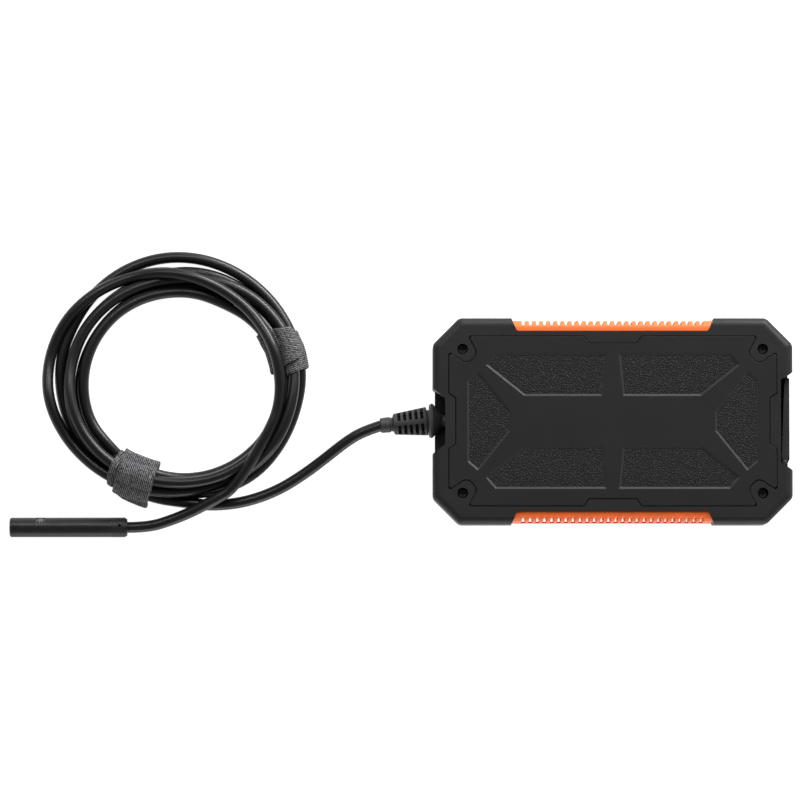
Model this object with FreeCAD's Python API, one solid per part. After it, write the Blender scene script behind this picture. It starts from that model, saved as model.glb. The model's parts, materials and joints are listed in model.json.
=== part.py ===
import FreeCAD, Part

import math
import os

from FreeCAD import Vector

# Handheld inspection camera lying on its screen: a display unit with its back up,
# and its probe on a coiled cable to the left.
# Millimetres. +Z is out of the display unit's back, +X away from the cable,
# and the origin is under the display unit's centre, on the surface it lies on.

# ---- casing -------------------------------------------------------------
LENGTH = 150.0
WIDTH = 86.0
HEIGHT = 24.0
PARTING_Z = 11.0
CORNER_CUT = 11.0
CORNER_R = 3.5
REAR_EDGE_R = 3.2
FRONT_EDGE_R = 2.0
BEZEL_Z = 1.0
PLATE_Z = 3.0
ROOF_Z = 20.0
PANEL_SEAT_Z = 22.0
CAVITY_X = 67.5
CAVITY_Y = 35.3
SCREW_X = 62.5
SCREW_Y = 30.0
POST_R = 4.0
COUNTERBORE_R = 2.2
GASKET_X = 68.5
GASKET_Y = 36.4
GASKET_Z = 10.0

# ---- side recesses and grips --------------------------------------------
LEFT_WALL_X = -69.65
RIGHT_WALL_X = 70.0
LEDGE_X = 74.0
LEDGE_Z = 8.0
COVER_FLOOR_Z = 3.6
COVER_TOP_Z = 19.4
COVER_HINGE = (72.1, -16.5)
GRIP_INNER_Y = 37.5
GRIP_OUTER_Y = 41.9
GRIP_ROOT_Y = 40.0
GRIP_HALF_IN = 39.9
GRIP_HALF_OUT = 42.2
GRIP_Z = (1.2, 23.0)
GRIP_LIP_Z = 2.4
NOTCH_PITCH = 2.97
NOTCH_COUNT = 26

# ---- rear panel ---------------------------------------------------------
PANEL_X = 68.2
PANEL_Y = 35.3
PANEL_BOSS_R = 4.7
PANEL_GAP = 0.3
PAD_DEPTH = 0.55
PAD_BEVEL = 0.95

# ---- display and electronics --------------------------------------------
WINDOW = (106.0, 64.0)
APERTURE = (100.0, 58.0)
LCD = (105.0, 61.0)
BOARD_Z = (7.2, 8.8)
BUTTON_TRAVEL = 0.35
BUTTON_X = 62.0
BUTTONS_LEFT = (("menu_button", 16.0), ("back_button", 0.0), ("ok_button", -16.0))
BUTTONS_RIGHT = (("power_button", 18.0), ("photo_button", 6.0),
                 ("light_up_button", -6.0), ("light_down_button", -18.0))
STANDOFF = (54.8, 32.2)
USB_Y = 10.0
CARD_Y = -8.0

# ---- cable --------------------------------------------------------------
CABLE_D = 4.7
CABLE_R = CABLE_D / 2
RELIEF_Y = 0.6
RELIEF_Z = 11.0
RELIEF_PIVOT_X = -76.0
RELIEF_END_X = -97.0
RELIEF_TILT = 5.5
COIL_OUT_CENTRE = (-184.0, 17.7)
COIL_OUT_SEMI = (55.2, 54.4)
COIL_IN_CENTRE = (-180.0, 15.8)
COIL_IN_SEMI = (39.2, 35.8)
COIL_HEIGHT = 14.0
STRAP_WIDTH = 15.0
STRAP_T = 1.2

# ---- probe --------------------------------------------------------------
PROBE_R = 4.15
PROBE_Y = -43.8
PROBE_TIP_X = -252.1
PROBE_CAP_X = -241.8
PROBE_COLLAR_X = -209.2
PROBE_END_X = -202.9
PROBE_WALL = 0.7
SIDE_WINDOW_TURN = -58
SET_SCREW_TURN = -10


def rounded_wire(points, radius, z=0.0):
    """Closed wire through the corner points, each corner rounded by its radius."""
    count = len(points)
    radii = radius if isinstance(radius, (list, tuple)) else [radius] * count
    corners = []
    for i, (x, y) in enumerate(points):
        here = Vector(x, y, z)
        back = Vector(*points[i - 1], z) - here
        ahead = Vector(*points[(i + 1) % count], z) - here
        half = back.getAngle(ahead) / 2
        if radii[i] <= 0:
            corners.append((here, None, here))
            continue
        reach = radii[i] / math.tan(half)
        to_middle = (back.normalize() + ahead.normalize()).normalize()
        centre = here + to_middle * (radii[i] / math.sin(half))
        middle = centre - to_middle * radii[i]
        corners.append((here + back * reach, middle, here + ahead * reach))
    edges = []
    for i, (start, middle, end) in enumerate(corners):
        if middle is not None:
            edges.append(Part.Arc(start, middle, end).toShape())
        following = corners[(i + 1) % count][0]
        if (following - end).Length > 1e-6:
            edges.append(Part.LineSegment(end, following).toShape())
    return Part.Wire(edges)


def prism(points, z0, z1, radius=0.0):
    """Upright prism over a rounded polygon."""
    return Part.Face(rounded_wire(points, radius, z0)).extrude(Vector(0, 0, z1 - z0))


def rectangle(size_x, size_y, x=0.0, y=0.0):
    return [(x - size_x / 2, y - size_y / 2), (x + size_x / 2, y - size_y / 2),
            (x + size_x / 2, y + size_y / 2), (x - size_x / 2, y + size_y / 2)]


def block(x, y, z):
    """Box between the (low, high) pairs x, y and z."""
    return Part.makeBox(x[1] - x[0], y[1] - y[0], z[1] - z[0], Vector(x[0], y[0], z[0]))


def rod_x(radius, x0, x1, y, z):
    return Part.makeCylinder(radius, x1 - x0, Vector(x0, y, z), Vector(1, 0, 0))


def rod_z(radius, z0, z1, x, y):
    return Part.makeCylinder(radius, z1 - z0, Vector(x, y, z0), Vector(0, 0, 1))


def turned_x(profile, y, z):
    """Solid turned about the line along X at y, z from (x, radius) points."""
    points = [Vector(x, y + r, z) for x, r in profile]
    outline = Part.makePolygon(points + points[:1])
    return Part.Face(outline).revolve(Vector(0, y, z), Vector(1, 0, 0), 360)


def turned(shape, degrees, centre, axis=(0, 0, 1)):
    copy = shape.copy()
    copy.rotate(Vector(*centre), Vector(*axis), degrees)
    return copy


def moved(shape, x=0.0, y=0.0, z=0.0):
    copy = shape.copy()
    copy.translate(Vector(x, y, z))
    return copy


def mirrored_y(points):
    return [(x, -y) for x, y in reversed(points)]


def mirrored_x(points):
    return [(-x, y) for x, y in reversed(points)]


def inset(points, distance):
    """Anticlockwise polygon with every side moved inward, or outward for a negative distance."""
    count = len(points)
    result = []
    for i in range(count):
        lines = []
        for a, b in ((points[i - 1], points[i]), (points[i], points[(i + 1) % count])):
            length = math.hypot(b[0] - a[0], b[1] - a[1])
            normal = (-(b[1] - a[1]) / length, (b[0] - a[0]) / length)
            lines.append((normal, normal[0] * a[0] + normal[1] * a[1] + distance))
        ((ax, ay), ac), ((bx, by), bc) = lines
        det = ax * by - ay * bx
        result.append(((ac * by - ay * bc) / det, (ax * bc - ac * bx) / det))
    return result


def four_corners(x, y):
    return [(sx * x, sy * y) for sx in (-1, 1) for sy in (-1, 1)]


# ---- casing blanks ------------------------------------------------------

def casing_outline():
    x, y, c = LENGTH / 2, WIDTH / 2, CORNER_CUT
    return [(-x, -y + c), (-x + c, -y), (x - c, -y), (x, -y + c),
            (x, y - c), (x - c, y), (-x + c, y), (-x, y - c)]


def casing_blank():
    blank = prism(casing_outline(), 0, HEIGHT, CORNER_R)
    rear = [e for e in blank.Edges if e.BoundBox.ZMin > HEIGHT - 0.01]
    blank = blank.makeFillet(REAR_EDGE_R, rear)
    front = [e for e in blank.Edges if e.BoundBox.ZMax < 0.01]
    return blank.makeFillet(FRONT_EDGE_R, front)


def grip_pocket(side, gap=0.0):
    """Room for a grip strip in one long side: side is +1 or -1."""
    inner = side * (GRIP_INNER_Y + gap)
    outer = side * (WIDTH / 2 + 1)
    points = [(-GRIP_HALF_IN + gap, inner), (GRIP_HALF_IN - gap, inner),
              (GRIP_HALF_OUT - gap, side * WIDTH / 2), (GRIP_HALF_OUT - gap, outer),
              (-GRIP_HALF_OUT + gap, outer), (-GRIP_HALF_OUT + gap, side * WIDTH / 2)]
    if side < 0:
        points.reverse()
    radii = [1.6 if abs(y) < WIDTH / 2 - 1 else 0 for x, y in points]
    return prism(points, -1, HEIGHT + 1, radii)


def left_recess(z0, z1):
    points = [(-76, -14.3), (-74.6, -13.4), (LEFT_WALL_X, -9.7),
              (LEFT_WALL_X, 9.7), (-74.6, 13.4), (-76, 14.3)]
    return prism(points, z0, z1)


def right_recess(z0, z1, gap=0.0):
    wall = RIGHT_WALL_X + gap
    points = [(wall, -17.2 + gap), (74.6, -20.2 + gap), (76, -21.1 + gap),
              (76, 21.1 - gap), (74.6, 20.2 - gap), (wall, 17.2 - gap)]
    return prism(points, z0, z1)


def relief_channel():
    """Room in the casing for the strain relief's cone and neck."""
    profile = [(-77, 0), (-77, 7.7), (-74.9, 7.7), (-70.6, 2.9), (-66, 2.9), (-66, 0)]
    return turned_x(profile, RELIEF_Y, RELIEF_Z)


def port_openings():
    usb = prism(rectangle(9.6, 3.9), 66, 72, 1.0)
    usb.rotate(Vector(0, 0, 0), Vector(0, 1, 0), 90)
    usb.rotate(Vector(0, 0, 0), Vector(1, 0, 0), 90)
    usb.translate(Vector(0, USB_Y, BOARD_Z[1] + 1.6))
    card = block((66, 72), (CARD_Y - 6.2, CARD_Y + 6.2), (BOARD_Z[1] + 0.1, BOARD_Z[1] + 2.3))
    return usb, card


def casing_cuts(shell):
    cuts = [grip_pocket(1), grip_pocket(-1), relief_channel(), *port_openings()]
    for cut in cuts:
        shell = shell.cut(cut)
    return shell


def cavity(z0, z1):
    room = prism(rectangle(2 * CAVITY_X, 2 * CAVITY_Y), z0, z1, 3.0)
    for x, y in four_corners(SCREW_X, SCREW_Y):
        room = room.cut(rod_z(POST_R, z0 - 1, z1 + 1, x, y))
    return room


def gasket_ring(z0, z1, half_width):
    outer = prism(rectangle(2 * (GASKET_X + half_width), 2 * (GASKET_Y + half_width)), z0, z1, 3.0)
    inner = prism(rectangle(2 * (GASKET_X - half_width), 2 * (GASKET_Y - half_width)), z0 - 1, z1 + 1, 2.4)
    return outer.cut(inner)


def shell_gasket():
    """Seal in the groove between the halves, parted at the ports and the cable's channel."""
    ring = gasket_ring(GASKET_Z + 0.05, PARTING_Z, 0.45)
    for cut in (relief_channel(), *port_openings()):
        ring = ring.cut(cut)
    return ring


def button_hole(x, y, grow, z0, z1):
    return prism(rectangle(8.6 + 2 * grow, 6.2 + 2 * grow, x, y), z0, z1, 2.9 + grow)


def all_buttons():
    left = [(name, -BUTTON_X, y) for name, y in BUTTONS_LEFT]
    right = [(name, BUTTON_X, y) for name, y in BUTTONS_RIGHT]
    return left + right


def front_shell(blank):
    shell = blank.common(block((-80, 80), (-50, 50), (0, PARTING_Z)))
    shell = shell.cut(prism(rectangle(140, 72), -1, BEZEL_Z, 5.0))
    shell = shell.cut(cavity(PLATE_Z, PARTING_Z + 1))
    shell = shell.cut(prism(rectangle(*WINDOW), 0, 2.1, 4.0))
    shell = shell.cut(prism(rectangle(*APERTURE), 0, PLATE_Z + 1, 2.0))
    shell = shell.cut(left_recess(LEDGE_Z, PARTING_Z + 1))
    step = left_recess(-1, LEDGE_Z).common(block((-77, -LEDGE_X), (-20, 20), (-2, 30)))
    shell = shell.cut(step)
    shell = shell.cut(right_recess(COVER_FLOOR_Z, PARTING_Z + 1))
    step = right_recess(-1, COVER_FLOOR_Z).common(block((LEDGE_X, 77), (-30, 30), (-2, 30)))
    shell = shell.cut(step)
    shell = casing_cuts(shell)
    shell = shell.cut(gasket_ring(GASKET_Z, PARTING_Z + 1, 0.5))
    for _, x, y in all_buttons():
        shell = shell.cut(button_hole(x, y, 0.15, 0, PLATE_Z + 1))
    for x, y in four_corners(SCREW_X, SCREW_Y):
        shell = shell.cut(rod_z(1.27, 4.6, PARTING_Z + 1, x, y))
    for x, y in four_corners(*STANDOFF):
        shell = shell.fuse(rod_z(1.9, PLATE_Z - 0.5, BOARD_Z[0], x, y))
        shell = shell.cut(rod_z(0.82, 3.6, BOARD_Z[0] + 1, x, y))
    return shell.removeSplitter()


def panel_corner_points():
    """Seam points round one screw boss, for the corner at +X, +Y, going anticlockwise."""
    return [(PANEL_X, 28.6), (SCREW_X - 1.9, 23.6), (SCREW_X - 6.4, SCREW_Y - 1.9), (60.0, PANEL_Y)]


def panel_outline():
    corner = panel_corner_points()
    quadrant = [(65.3, 9.7), (PANEL_X, 11.6)] + corner + [(12.1, PANEL_Y), (10.0, 32.3)]
    radii = [0.5, 0.5, 0.9, 3.0, 3.0, 0.9, 0.5, 0.5]
    points = quadrant + mirrored_x(quadrant)
    corner_radii = radii + radii[::-1]
    lower = mirrored_y(points)
    return points + lower, corner_radii + corner_radii[::-1]


def pad_outlines():
    long_pad = [(4.2, 10.4), (36.9, 10.4), (53.2, 23.4), (48.9, 28.3), (2.35, 28.3)]
    side_pad = [(42.5, -4.2), (56.0, -20.9), (60.7, -16.9), (60.7, 16.9), (56.0, 20.9), (42.5, 4.2)]
    right = [long_pad, mirrored_y(long_pad), side_pad]
    return right + [mirrored_x(pad) for pad in right]


def rear_panel():
    points, radii = panel_outline()
    panel = prism(points, PANEL_SEAT_Z, HEIGHT, radii)
    top = [e for e in panel.Edges if e.BoundBox.ZMin > HEIGHT - 0.01]
    panel = panel.makeChamfer(0.2, top)
    for pad in pad_outlines():
        floor = HEIGHT - PAD_DEPTH
        lower = rounded_wire(inset(pad, PAD_BEVEL), 0.3, floor)
        upper = rounded_wire(pad, 0.6, HEIGHT + 0.001)
        panel = panel.cut(Part.makeLoft([lower, upper], True, True))
    return panel


def rear_shell(blank):
    shell = blank.common(block((-80, 80), (-50, 50), (PARTING_Z, HEIGHT)))
    shell = shell.cut(cavity(PARTING_Z - 1, ROOF_Z))
    points, radii = panel_outline()
    shell = shell.cut(prism(inset(points, -PANEL_GAP), PANEL_SEAT_Z, HEIGHT + 1, radii))
    shell = shell.cut(left_recess(PARTING_Z - 1, HEIGHT + 1))
    shell = shell.cut(right_recess(PARTING_Z - 1, HEIGHT + 1))
    shell = casing_cuts(shell)
    for x, y in four_corners(SCREW_X, SCREW_Y):
        shell = shell.cut(rod_z(COUNTERBORE_R, ROOF_Z - 1, HEIGHT + 1, x, y))
        shell = shell.cut(rod_z(1.5, PARTING_Z - 1, ROOF_Z, x, y))
    return shell.removeSplitter()


def grip_strip(side):
    """Rubber strip with upright notches in its outer face, closed at the front by a lip at -Y."""
    low, high = GRIP_Z
    inner, outer = GRIP_INNER_Y + 0.05, GRIP_OUTER_Y
    shoulder = 3.0
    arc_middle = (outer - shoulder * (1 - math.sqrt(0.5)), high - shoulder * (1 - math.sqrt(0.5)))
    lip = outer + (0.2 if side < 0 else 0.1)
    a = Vector(0, inner, low)
    b = Vector(0, lip, low)
    c = Vector(0, lip, GRIP_LIP_Z)
    d = Vector(0, outer, GRIP_LIP_Z)
    e = Vector(0, outer, high - shoulder)
    f = Vector(0, outer - shoulder, high)
    g = Vector(0, inner, high)
    edges = [Part.LineSegment(p, q).toShape() for p, q in ((a, b), (b, c), (c, d), (d, e))]
    edges.append(Part.Arc(e, Vector(0, *arc_middle), f).toShape())
    edges += [Part.LineSegment(p, q).toShape() for p, q in ((f, g), (g, a))]
    strip = Part.Face(Part.Wire(edges)).extrude(Vector(2 * GRIP_HALF_OUT, 0, 0))
    strip.translate(Vector(-GRIP_HALF_OUT, 0, 0))
    strip = strip.common(grip_pocket(1, 0.05))
    for i in range(NOTCH_COUNT):
        x = (i - (NOTCH_COUNT - 1) / 2) * NOTCH_PITCH
        mouth = [(x - 0.55, GRIP_ROOT_Y), (x + 0.55, GRIP_ROOT_Y), (x + 0.95, 43), (x - 0.95, 43)]
        slot = [(x - 0.55, GRIP_ROOT_Y), (x + 0.55, GRIP_ROOT_Y), (x + 0.7, 41.4), (x - 0.7, 41.4)]
        strip = strip.cut(prism(mouth, GRIP_LIP_Z if side < 0 else 0, HEIGHT + 1, [0.45, 0.45, 0, 0]))
        if side < 0:
            strip = strip.cut(prism(slot, 0, GRIP_LIP_Z, [0.45, 0.45, 0, 0]))
    return strip if side > 0 else strip.mirror(Vector(0, 0, 0), Vector(0, 1, 0))


# ---- display and electronics --------------------------------------------

def button(x, y):
    cap = button_hole(x, y, 0, BEZEL_Z - 0.65, PLATE_Z + 0.2)
    face = [e for e in cap.Edges if e.BoundBox.ZMax < BEZEL_Z - 0.6]
    cap = cap.makeFillet(0.45, face)
    flange = button_hole(x, y, 0.8, PLATE_Z + 0.15, PLATE_Z + 0.95)
    stem = rod_z(1.5, PLATE_Z + 0.9, PLATE_Z + 1.35, x, y)
    return cap.fuse(flange).fuse(stem).removeSplitter()


def tact_switches():
    solids = []
    for _, x, y in all_buttons():
        body = block((x - 2.5, x + 2.5), (y - 2.5, y + 2.5), (5.2, BOARD_Z[0]))
        solids.append(body.fuse(rod_z(1.2, PLATE_Z + 1.75, 5.2, x, y)).removeSplitter())
    return Part.makeCompound(solids)


def board_outline():
    return [(-57.5, -34), (57.5, -34), (57.5, -25), (66.6, -25), (66.6, 25), (57.5, 25),
            (57.5, 34), (-57.5, 34), (-57.5, 25), (-65.0, 25), (-65.0, -25), (-57.5, -25)]


def main_board():
    board = prism(board_outline(), *BOARD_Z, 0.8)
    for x, y in four_corners(*STANDOFF):
        board = board.cut(rod_z(1.1, 0, HEIGHT, x, y))
    return board


def board_screws():
    top = BOARD_Z[1]
    solids = []
    for x, y in four_corners(*STANDOFF):
        head = rod_z(1.7, top, top + 1.1, x, y).cut(cross_recess(x, y, top + 0.5, top + 2, 2.0, 0.45))
        solids.append(head.fuse(rod_z(0.8, 4.0, top, x, y)).removeSplitter())
    return Part.makeCompound(solids)


def cross_recess(x, y, z0, z1, span, width):
    one = prism(rectangle(span, width, x, y), z0, z1)
    return one.fuse(prism(rectangle(width, span, x, y), z0, z1))


def case_screws():
    solids = []
    for x, y in four_corners(SCREW_X, SCREW_Y):
        head = rod_z(2.0, ROOF_Z - 1, ROOF_Z + 0.9, x, y)
        top = [e for e in head.Edges if e.BoundBox.ZMin > ROOF_Z + 0.8]
        head = head.makeFillet(0.5, top)
        head = head.cut(cross_recess(x, y, ROOF_Z - 0.2, ROOF_Z + 2, 2.4, 0.55))
        solids.append(head.fuse(rod_z(1.25, 5.0, ROOF_Z - 1, x, y)).removeSplitter())
    return Part.makeCompound(solids)


def board_chips():
    places = ((20, 14, 12, 12), (20, -10, 8, 10), (-22, -8, 9, 9), (-30, 14, 6, 5), (0, -22, 7, 4))
    top = BOARD_Z[1]
    return Part.makeCompound([prism(rectangle(w, d, x, y), top, top + 1.1) for x, y, w, d in places])


def shield_can():
    can = prism(rectangle(13, 20, 48, 10), BOARD_Z[1], BOARD_Z[1] + 2.4, 0.8)
    return can.cut(prism(rectangle(12.4, 19.4, 48, 10), BOARD_Z[1] - 1, BOARD_Z[1] + 2.1, 0.6))


def usb_socket():
    z = BOARD_Z[1] + 1.6
    shell = block((62.4, 69.3), (USB_Y - 4.45, USB_Y + 4.45), (BOARD_Z[1], z + 1.6))
    shell = shell.cut(block((63.0, 70.0), (USB_Y - 4.15, USB_Y + 4.15), (z - 1.3, z + 1.3)))
    tongue = block((63.0, 68.6), (USB_Y - 3.3, USB_Y + 3.3), (z - 0.35, z + 0.35))
    return shell.fuse(tongue).removeSplitter()


def card_socket():
    z = BOARD_Z[1]
    body = block((53.4, 67.2), (CARD_Y - 7, CARD_Y + 7), (z, z + 1.9))
    return body.cut(block((54.2, 68), (CARD_Y - 5.7, CARD_Y + 5.7), (z + 0.3, z + 1.5)))


def memory_card():
    z = BOARD_Z[1] + 0.4
    body = block((54.4, 69.0), (CARD_Y - 5.5, CARD_Y + 5.5), (z, z + 0.8))
    lip = block((67.9, 69.0), (CARD_Y - 4.5, CARD_Y + 4.5), (z + 0.8, z + 1.05))
    return body.fuse(lip).removeSplitter()


def port_cover():
    """Rubber flap over the ports, thicker towards its hinge at the -Y end."""
    hinge_x, hinge_y = COVER_HINGE
    points = [(hinge_x, hinge_y - 1.2), (73.8, hinge_y + 0.4), (73.8, 17.6), (73.2, 18.4),
              (72.0, 17.4), (71.6, 14.0), (70.6, hinge_y + 1.6)]
    flap = prism(points, COVER_FLOOR_Z + 0.3, COVER_TOP_Z, [0, 0.6, 0.5, 0.5, 0.4, 2.0, 0.4])
    barrel = rod_z(1.3, COVER_FLOOR_Z + 0.3, COVER_TOP_Z, hinge_x, hinge_y)
    return flap.fuse(barrel).removeSplitter().cut(rod_z(0.6, 0, HEIGHT, hinge_x, hinge_y))


def port_cover_peg():
    return rod_z(0.5, COVER_FLOOR_Z, COVER_TOP_Z, *COVER_HINGE)


def inner_cable():
    return rod_x(1.6, -65.2, -56.2, RELIEF_Y, RELIEF_Z)


def camera_header():
    return prism(rectangle(6.2, 11, -53.1, RELIEF_Y), BOARD_Z[1], BOARD_Z[1] + 4.6, 0.4)


# ---- strain relief ------------------------------------------------------

def strain_relief():
    """Moulded rubber boot: cone in the casing's channel, then a slotted taper and a collar."""
    y, z = RELIEF_Y, RELIEF_Z
    base = turned_x([(-76.6, 0), (-76.6, 6.2), (-76.2, 6.9), (-75.6, 7.25), (-74.9, 7.1), (-70.9, 2.5),
                     (-67.3, 2.5), (-67.3, 3.4), (-65.2, 3.4), (-65.2, 0)], y, z)
    taper = [(RELIEF_PIVOT_X, 0), (RELIEF_PIVOT_X, 4.6), (-77.1, 4.6), (-77.2, 5.7), (-77.7, 5.95),
             (-91.0, 4.4), (-91.4, 3.9), (-91.6, 3.0), (-92.6, 2.9), (-93.0, 3.3),
             (RELIEF_END_X + 0.6, 3.15), (RELIEF_END_X, 2.8), (RELIEF_END_X, 0)]
    body = turned_x(taper, y, z)
    for i in range(5):
        x = -88.9 + 2.4 * i
        ring = rod_x(7.5, x - 0.65, x + 0.65, y, z).cut(rod_x(2.9 + 0.1 * i, x - 1, x + 1, y, z))
        for width, depth in ((2.0, 20), (20, 2.0)):
            ring = ring.cut(block((x - 2, x + 2), (y - width / 2, y + width / 2),
                                  (z - depth / 2, z + depth / 2)))
        body = body.cut(ring)
    return base.fuse(turned(body, RELIEF_TILT, (RELIEF_PIVOT_X, y, z))).removeSplitter()


def relief_point(x):
    """Point on the strain relief's tilted axis, by its place before the tilt."""
    reach = x - RELIEF_PIVOT_X
    angle = math.radians(RELIEF_TILT)
    return Vector(RELIEF_PIVOT_X + reach * math.cos(angle), RELIEF_Y + reach * math.sin(angle), RELIEF_Z)


# ---- cable --------------------------------------------------------------

def cable_tube(name, route, radius):
    """Tube along straight runs joined by tangent arcs, with its length and bends printed."""
    runs = [route[i + 1] - route[i] for i in range(len(route) - 1)]
    edges = []
    start = route[0]
    bends = []
    for i in range(1, len(route) - 1):
        back, ahead = runs[i - 1], runs[i]
        turn = back.getAngle(ahead)
        bend = 0.45 * min(back.Length, ahead.Length) / math.tan(turn / 2)
        reach = bend * math.tan(turn / 2)
        into = Vector(back).normalize()
        out = Vector(ahead).normalize()
        enter = route[i] - into * reach
        leave = route[i] + out * reach
        to_centre = (out - into).normalize()
        centre = route[i] + to_centre * (bend / math.cos(turn / 2))
        middle = centre - to_centre * bend
        edges.append(Part.LineSegment(start, enter).toShape())
        edges.append(Part.Arc(enter, middle, leave).toShape())
        bends.append(round(bend, 1))
        start = leave
    edges.append(Part.LineSegment(start, route[-1]).toShape())
    path = Part.Wire(edges)
    section = Part.Wire(Part.makeCircle(radius, route[0], runs[0]))
    tube = path.makePipeShell([section], True, False)
    expected = math.pi * radius ** 2 * path.Length
    print(name, "length", round(path.Length, 1), "bend radii", bends,
          "volume ratio", round(tube.Volume / expected, 4))
    return tube


def lead_route():
    """Cable from inside the strain relief's end down to the floor and over to the coil."""
    return [relief_point(RELIEF_END_X + 0.6), Vector(-104.4, -3.9, 10.2), Vector(-111.9, -8.6, 8.4),
            Vector(-119.8, -14.8, 5.9), Vector(-129.2, -21.8, 3.9), Vector(-140.4, -28.6, 2.8),
            Vector(-153.5, -33.2, 2.45), Vector(-166.6, -34.7, 2.4), Vector(-176.7, -33.6, 2.35)]


def tail_route():
    """Cable from the probe's collar, up over the lead, to the coil."""
    return [Vector(PROBE_END_X, PROBE_Y, PROBE_R), Vector(-194.2, PROBE_Y, PROBE_R),
            Vector(-184.1, -40.7, 4.7), Vector(-175.0, -37.0, 6.4), Vector(-166.0, -32.2, 8.6)]


STRAPS = {
    # centre x, y, cable direction in degrees, bundle width, bundle height
    "lower_strap": ((-200.2, -21.7), -36.0, 14.4, 9.6),
    "right_strap": ((-137.3, 29.2), -78.0, 17.4, 6.0),
}


def along_cable(shape, centre, degrees):
    """Put a shape made about the origin, with the cable along X, at its place on the coil."""
    return moved(turned(shape, degrees, (0, 0, 0)), centre[0], centre[1])


def bundle_section(width, height, grow, low):
    w, h = width / 2 + grow, height + 2 * grow
    r = min(2.0 + grow, h / 2 - 0.05)
    return rounded_wire([(-w, low - grow), (w, low - grow), (w, low + h - grow), (-w, low + h - grow)], r)


def bundle_bar(width, height, grow, length):
    """Bar of the bundle's section along X, its underside one strap thickness up."""
    wire = bundle_section(width, height, grow, STRAP_T)
    bar = Part.Face(wire).extrude(Vector(0, 0, length))
    bar.translate(Vector(0, 0, -length / 2))
    return turned(turned(bar, 90, (0, 0, 0), (1, 0, 0)), 90, (0, 0, 0))


def strap(name):
    centre, degrees, width, height = STRAPS[name]
    outer = bundle_bar(width, height, STRAP_T, STRAP_WIDTH)
    inner = bundle_bar(width, height, 0.05, STRAP_WIDTH + 2)
    tab = block((-STRAP_WIDTH / 2, STRAP_WIDTH / 2), (-width / 2 + 2, width / 2 + 1.5),
                (height + 2 * STRAP_T, height + 3 * STRAP_T))
    return along_cable(outer.cut(inner).fuse(tab).removeSplitter(), centre, degrees)


def ellipse_prism(centre, semi, height):
    major, minor = semi
    curve = Part.Ellipse(Vector(0, 0, 0), major, minor).toShape()
    solid = Part.Face(Part.Wire(curve)).extrude(Vector(0, 0, height))
    return moved(solid, *centre)


def cable_coil():
    """One solid of the coil's outer shape, narrowed to the bundle inside each strap."""
    ring = ellipse_prism(COIL_OUT_CENTRE, COIL_OUT_SEMI, COIL_HEIGHT)
    ring = ring.cut(moved(ellipse_prism(COIL_IN_CENTRE, COIL_IN_SEMI, COIL_HEIGHT + 2), z=-1))
    for centre, degrees, width, height in STRAPS.values():
        zone = block((-STRAP_WIDTH / 2 - 0.3, STRAP_WIDTH / 2 + 0.3), (-22, 22), (-1, COIL_HEIGHT + 1))
        bar = bundle_bar(width, height, 0, STRAP_WIDTH + 5)
        ring = ring.cut(along_cable(zone, centre, degrees))
        ring = ring.fuse(along_cable(bar, centre, degrees))
    return ring.removeSplitter()


# ---- probe --------------------------------------------------------------

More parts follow.
